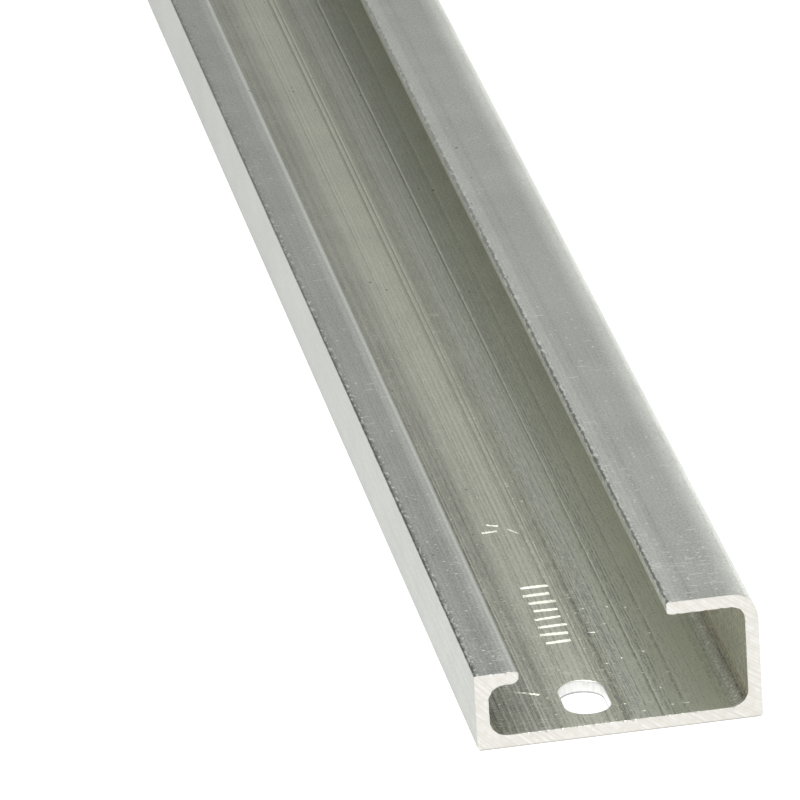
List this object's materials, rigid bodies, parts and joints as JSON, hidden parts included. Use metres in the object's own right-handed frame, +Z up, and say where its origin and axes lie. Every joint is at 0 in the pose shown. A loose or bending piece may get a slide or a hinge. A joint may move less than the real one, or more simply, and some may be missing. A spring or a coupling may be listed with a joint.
{
  "type": "aluminium extrusion profile",
  "caption": "Straight length of G-section aluminium mounting rail: flat base, tall wall with a long lip, short wall with a short lip, and slotted fixing holes at its ends.",
  "frame": {"origin": "middle of the underside, half way along the rail", "axes": "+Y along the rail, +Z up out of the open side, +X towards the tall wall"},
  "size_m": [0.032, 1, 0.015],
  "materials": {
    "aluminium": "mill finish, with fine lines along the rail and sawn ends"
  },
  "bodies": {
    "root": {"rail": "aluminium"}
  },
  "joints": []
}
